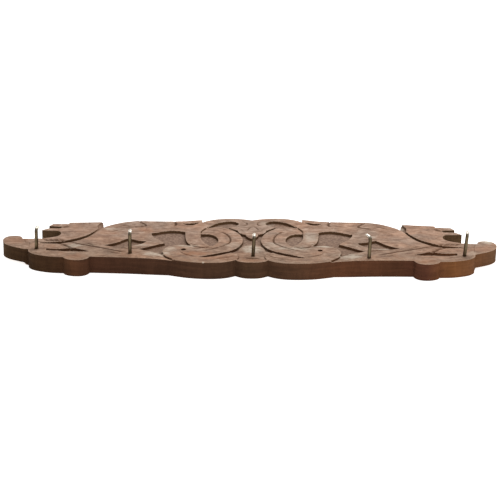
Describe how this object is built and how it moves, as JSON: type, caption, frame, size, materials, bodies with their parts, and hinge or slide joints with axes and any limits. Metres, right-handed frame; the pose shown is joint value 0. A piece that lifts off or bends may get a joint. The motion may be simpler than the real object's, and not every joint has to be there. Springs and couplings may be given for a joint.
{
  "type": "wall hook rack",
  "caption": "Wooden wall rack in one board, relief-carved with mirrored interlaced beasts, with brass square-bend screw hooks and keyhole hanger plates let into the back",
  "frame": {"origin": "centre of the flat back, under the middle of the rack's box", "axes": "+X along the rack, +Y to the edge that is uppermost when it hangs, +Z out of the carved front; the back lies in z = 0"},
  "size_m": [0.6006, 0.1428, 0.0515],
  "materials": {
    "carved_wood": "hand-carved, dark oiled pine worn pale and dusty on the raised front, darker on the edges",
    "brass_wire": "bare brass wire, dulled and brownish, brighter on top of the arms",
    "plated_steel": "zinc-plated, dull"
  },
  "bodies": {
    "root": {"carved_board": "carved_wood", "hook_1": "brass_wire", "hook_2": "brass_wire", "hook_3": "brass_wire", "hook_4": "brass_wire", "hook_5": "brass_wire", "hanger_plate_left": "plated_steel", "hanger_plate_right": "plated_steel", "hanger_screw_left_upper": "plated_steel", "hanger_screw_left_lower": "plated_steel", "hanger_screw_right_upper": "plated_steel", "hanger_screw_right_lower": "plated_steel"}
  },
  "joints": []
}
